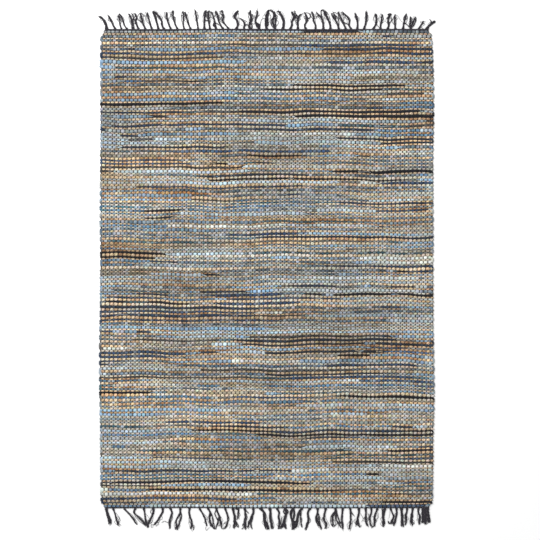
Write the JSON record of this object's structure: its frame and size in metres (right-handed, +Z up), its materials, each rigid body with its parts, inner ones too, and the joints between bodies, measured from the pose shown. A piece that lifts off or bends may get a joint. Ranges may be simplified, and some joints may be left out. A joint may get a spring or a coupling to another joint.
{
  "type": "rag rug",
  "caption": "Flat plain-woven rag rug of jute and denim picks in turn, with a dark twined heading and knotted warp tassels at each end.",
  "frame": {"origin": "on the floor under the middle of the woven field", "axes": "+Z up out of the rug's face, +Y along the warp towards the end with the shorter fringe, +X across the rug along its picks"},
  "size_m": [1.2208, 1.8798, 0.007],
  "materials": {
    "rag_weave": "matt plain weave: tan jute picks and blue, grey and white denim-rag picks in turn over dark warp",
    "warp_cotton": "matt charcoal cotton yarn, knotted and lightly frayed"
  },
  "bodies": {
    "root": {"woven_field": "rag_weave", "fringe_top": "warp_cotton", "fringe_bottom": "warp_cotton"}
  },
  "joints": []
}
